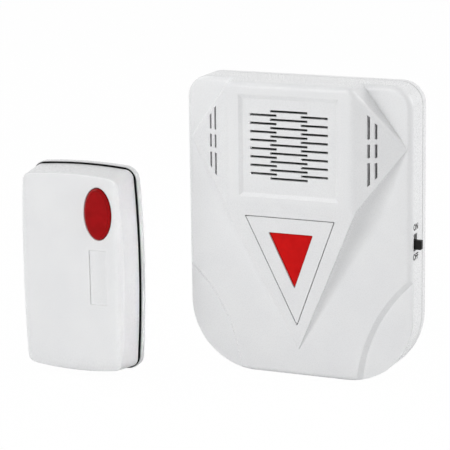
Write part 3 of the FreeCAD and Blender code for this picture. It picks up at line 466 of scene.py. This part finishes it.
dress(boardSurface("board_lacquer", boardFinish), "chime_board", "bell_board", "receiver_module")
dress(cellSurface("cell_wrap_right", cellFinish, "X", (44.0, 44.2)), "aa_cell_1")
dress(cellSurface("cell_wrap_left", cellFinish, "X", (18.2, 18.0)), "aa_cell_2")
dress(cellSurface("cell_wrap_small", cellFinish, "Z", (44.0, 44.2)), "bell_cell")
print("boards and cells dressed")


# Printed words beside the slide switch; sizes and places in mm
switchWords = {
    "size": 3.5,
    "bold": 0.11,
    "thick": 0.02,
    "x": 80.41,
    "y": 12.6,
    "aboveZ": 65.8,
    "belowZ": 53.4,
}
inkFinish = {"color": (0.015, 0.015, 0.016), "worn": (0.03, 0.03, 0.03), "rough": (0.5, 0.6),
             "grain": 0.2, "depth": 0.002, "gloss": 0.1}


def printWord(name, word, height):
    data = bpy.data.curves.new(name, "FONT")
    data.body = word
    data.align_x = "CENTER"
    data.size = switchWords["size"] * mm
    data.extrude = switchWords["thick"] * mm
    data.offset = switchWords["bold"] * mm
    letters = bpy.data.objects.new(name, data)
    bpy.context.scene.collection.objects.link(letters)
    # the letters run from front to back, on the right wall
    turn = Matrix(((0, 1, 0), (0, 0, 1), (1, 0, 0))).transposed().to_4x4()
    turn.translation = Vector((switchWords["x"], switchWords["y"], height)) * mm
    letters.matrix_world = turn
    data.materials.append(wordInk)
    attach(letters, "chime")


wordInk = darkSurface("grey_ink", inkFinish)
printWord("word_on", "ON", switchWords["aboveZ"])
printWord("word_off", "OFF", switchWords["belowZ"])
print("words printed")


# Floor, backdrop and light
studio = {
    "floor": (0.93, 0.93, 0.93),
    "floorRough": 0.9,
    "floorGloss": 0.1,
    "floorReach": 4.0,       # m, as the drop, which keeps the floor clear of the feet
    "floorDrop": 0.0002,
    "floorShare": 0.985,     # how much of the floor the camera sees as plain white
    "world": (1.0, 1.0, 1.0),
    "worldLevel": 0.2,
    "lampAim": (0, 0, 0.06),
}
# places and sizes in m, power in W, the beam's opening in degrees
lamps = [
    {"name": "key", "at": (-0.40, -1.30, 0.80), "size": (0.8, 0.8), "power": 7.7},
    {"name": "right", "at": (1.30, -0.10, 0.55), "size": (0.5, 0.8), "power": 2.0},
    {"name": "right_back", "at": (1.10, 0.70, 0.50), "size": (0.6, 0.9), "power": 7.8},
    {"name": "top_left", "at": (-0.80, 0.0, 1.10), "size": (0.7, 0.7), "power": 5.8},
    {"name": "top_right", "at": (0.80, 0.10, 1.10), "size": (0.7, 0.7), "power": 2.5},
    {"name": "low", "at": (-0.45, -1.15, 0.07), "size": (0.9, 0.12), "power": 2.5, "aim": (0, 0, 0.05)},
    # a narrow beam that passes in front of the chime and lights the side of the push button unit
    {"name": "side_beam", "at": (0.30, -0.058, 0.06), "size": (0.02, 0.11), "power": 0.0046,
     "aim": (-0.033, -0.018, 0.045), "beam": 12},
]


def setFloor():
    mesh = bpy.data.meshes.new("floor")
    reach = studio["floorReach"]
    corners = [(-reach, -reach, 0), (reach, -reach, 0), (reach, reach, 0), (-reach, reach, 0)]
    mesh.from_pydata(corners, [], [(0, 1, 2, 3)])
    floor = bpy.data.objects.new("floor", mesh)
    bpy.context.scene.collection.objects.link(floor)
    floor.location.z = -studio["floorDrop"]
    material, tree, shader = newFinish("pale_floor")
    shader.inputs["Base Color"].default_value = (*studio["floor"], 1)
    shader.inputs["Roughness"].default_value = studio["floorRough"]
    shader.inputs["Specular IOR Level"].default_value = studio["floorGloss"]
    white = put(tree, "ShaderNodeEmission", Strength=1.0)
    path = put(tree, "ShaderNodeLightPath")
    share = put(tree, "ShaderNodeMath", operation="MULTIPLY")
    tree.links.new(path.outputs["Is Camera Ray"], share.inputs[0])
    share.inputs[1].default_value = studio["floorShare"]
    mix = put(tree, "ShaderNodeMixShader")
    tree.links.new(share.outputs[0], mix.inputs[0])
    tree.links.new(shader.outputs["BSDF"], mix.inputs[1])
    tree.links.new(white.outputs["Emission"], mix.inputs[2])
    output = next(node for node in tree.nodes if node.type == "OUTPUT_MATERIAL")
    tree.links.new(mix.outputs[0], output.inputs["Surface"])
    floor.data.materials.append(material)


def setWorld():
    world = bpy.data.worlds.new("studio")
    bpy.context.scene.world = world
    world.use_nodes = True
    tree = world.node_tree
    tree.nodes.clear()
    output = tree.nodes.new("ShaderNodeOutputWorld")
    path = put(tree, "ShaderNodeLightPath")
    seen = put(tree, "ShaderNodeMath", operation="MAXIMUM")
    tree.links.new(path.outputs["Is Camera Ray"], seen.inputs[0])
    tree.links.new(path.outputs["Is Transmission Ray"], seen.inputs[1])
    seenOrGlossy = put(tree, "ShaderNodeMath", operation="MAXIMUM")
    tree.links.new(seen.outputs[0], seenOrGlossy.inputs[0])
    tree.links.new(path.outputs["Is Glossy Ray"], seenOrGlossy.inputs[1])
    lit = put(tree, "ShaderNodeBackground", Strength=studio["worldLevel"])
    lit.inputs["Color"].default_value = (*studio["world"], 1)
    shown = put(tree, "ShaderNodeBackground", Strength=1.0)
    shown.inputs["Color"].default_value = (1, 1, 1, 1)
    mix = put(tree, "ShaderNodeMixShader")
    tree.links.new(seenOrGlossy.outputs[0], mix.inputs[0])
    tree.links.new(lit.outputs[0], mix.inputs[1])
    tree.links.new(shown.outputs[0], mix.inputs[2])
    tree.links.new(mix.outputs[0], output.inputs["Surface"])


def setLamps():
    for lamp in lamps:
        data = bpy.data.lights.new(lamp["name"], "AREA")
        data.shape = "RECTANGLE"
        data.size, data.size_y = lamp["size"]
        data.energy = lamp["power"]
        light = bpy.data.objects.new(lamp["name"], data)
        bpy.context.scene.collection.objects.link(light)
        light.location = lamp["at"]
        data.spread = math.radians(lamp.get("beam", 180))
        towards = Vector(lamp.get("aim", studio["lampAim"])) - Vector(lamp["at"])
        light.rotation_euler = towards.to_track_quat("-Z", "Y").to_euler()


setFloor()
setWorld()
setLamps()
bpy.context.scene.view_settings.view_transform = "Standard"
print("studio set")
